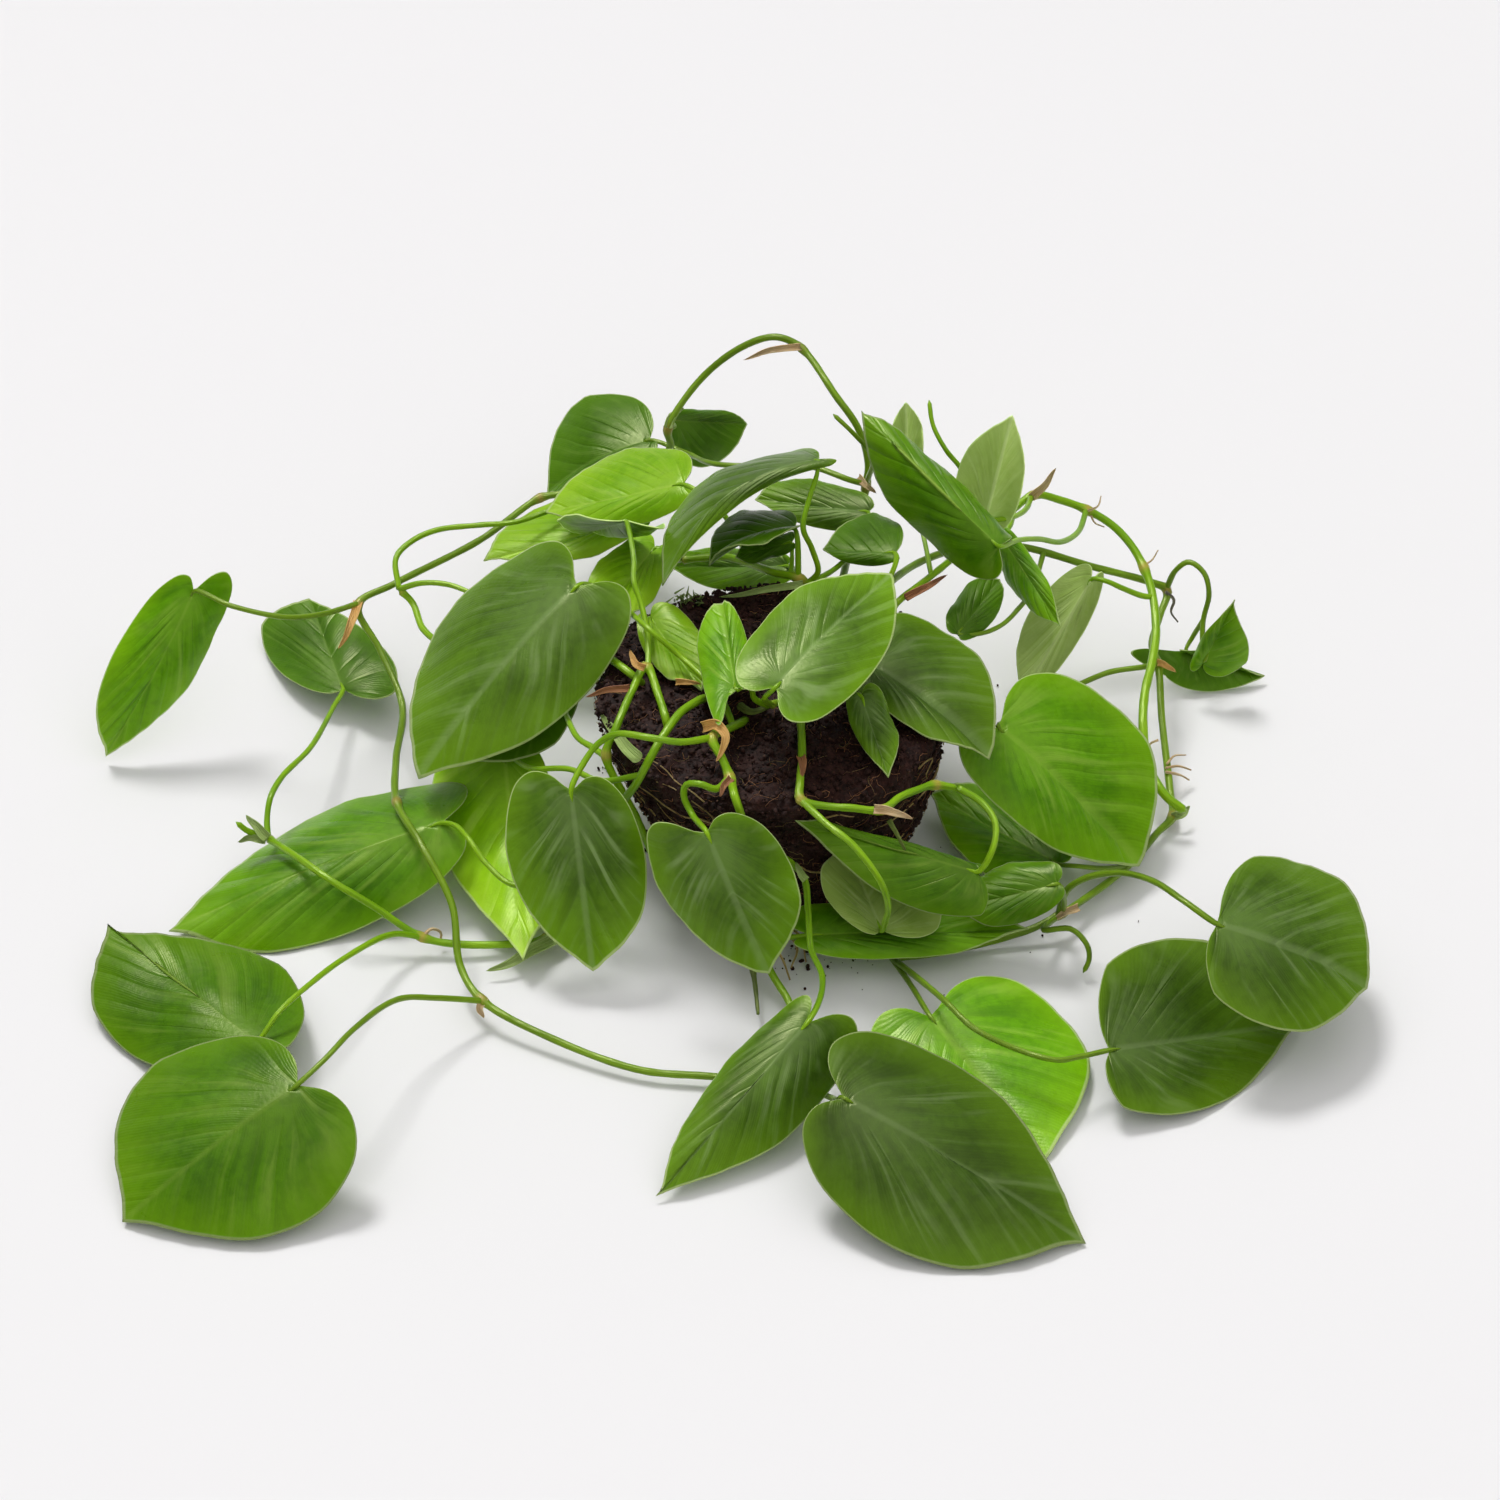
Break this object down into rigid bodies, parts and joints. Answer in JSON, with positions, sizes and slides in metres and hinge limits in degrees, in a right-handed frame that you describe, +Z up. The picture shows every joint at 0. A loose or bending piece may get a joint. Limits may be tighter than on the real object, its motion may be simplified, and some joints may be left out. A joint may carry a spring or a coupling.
{
  "type": "heartleaf philodendron with bare root ball",
  "caption": "Trailing house plant with heart-shaped green leaves on thin vines that sprawl round a bare, pot-shaped ball of soil.",
  "frame": {"origin": "middle of the root ball's flat foot, on the surface it stands on", "axes": "+Z up, away from the surface; +Y away from the side the picture was taken from; +X to the right as seen from that side"},
  "size_m": [0.4302, 0.3816, 0.12],
  "materials": {
    "old_stem": "smooth darker green stem",
    "stem": "smooth fresh green stem",
    "soil": "dark moist potting soil, rough",
    "leaf_bright": "waxy leaf blade, bright green",
    "leaf_deep": "waxy leaf blade, deep green",
    "leaf_greyish": "waxy leaf blade, greyish green",
    "leaf_yellowish": "waxy leaf blade, yellowish green",
    "leaf_pale": "waxy leaf blade, pale green"
  },
  "bodies": {
    "root": {"vine_long": "old_stem", "vine_left_back": "stem", "vine_left_dark": "stem", "vine_left_main": "stem", "vine_middle": "stem", "vine_top": "stem", "vine_back": "stem", "vine_front_right": "stem", "vine_right_bright": "stem", "vine_right_dark": "old_stem", "root_ball": "soil", "leaf_far_left": "leaf_bright", "leaf_left_dark": "leaf_deep", "leaf_left_flat": "leaf_bright", "leaf_low_left_back": "leaf_bright", "leaf_low_left_front": "leaf_bright", "leaf_big_left": "leaf_greyish", "leaf_under_big_left": "leaf_deep", "leaf_left_folded": "leaf_yellowish", "leaf_front_left_heart": "leaf_greyish", "leaf_front_middle_heart": "leaf_greyish", "leaf_back_left_dark": "leaf_deep", "leaf_back_left_folded": "leaf_deep", "leaf_back_left_yellow": "leaf_yellowish", "leaf_back_left_under": "leaf_yellowish", "leaf_back_left_edge_on": "leaf_greyish", "leaf_back_long": "leaf_greyish", "leaf_back_small_dark": "leaf_deep", "leaf_back_slender": "leaf_deep", "leaf_back_grey": "leaf_greyish", "leaf_back_olive": "leaf_deep", "leaf_back_right_bright": "leaf_bright", "leaf_back_right_under": "leaf_bright", "leaf_back_right_pale": "leaf_pale", "leaf_back_right_small": "leaf_pale", "leaf_right_olive": "leaf_pale", "leaf_right_shadow": "leaf_deep", "leaf_far_right": "leaf_deep", "leaf_far_right_young": "leaf_bright", "leaf_big_right": "leaf_bright", "leaf_top_heart": "leaf_greyish", "leaf_top_small": "leaf_bright", "leaf_top_right": "leaf_greyish", "leaf_top_narrow": "leaf_greyish", "leaf_soil_bright": "leaf_yellowish", "leaf_behind_big_left": "leaf_yellowish", "leaf_behind_soil": "leaf_greyish", "leaf_front_right_upper": "leaf_bright", "leaf_front_right_pale": "leaf_pale", "leaf_front_right_dark": "leaf_bright", "leaf_front_right_boat": "leaf_bright", "leaf_under_big_right": "leaf_bright", "leaf_low_right_top": "leaf_greyish", "leaf_low_right_under": "leaf_greyish", "leaf_front_bright": "leaf_bright", "leaf_front_largest": "leaf_greyish", "leaf_front_twisted": "leaf_greyish"}
  },
  "joints": []
}
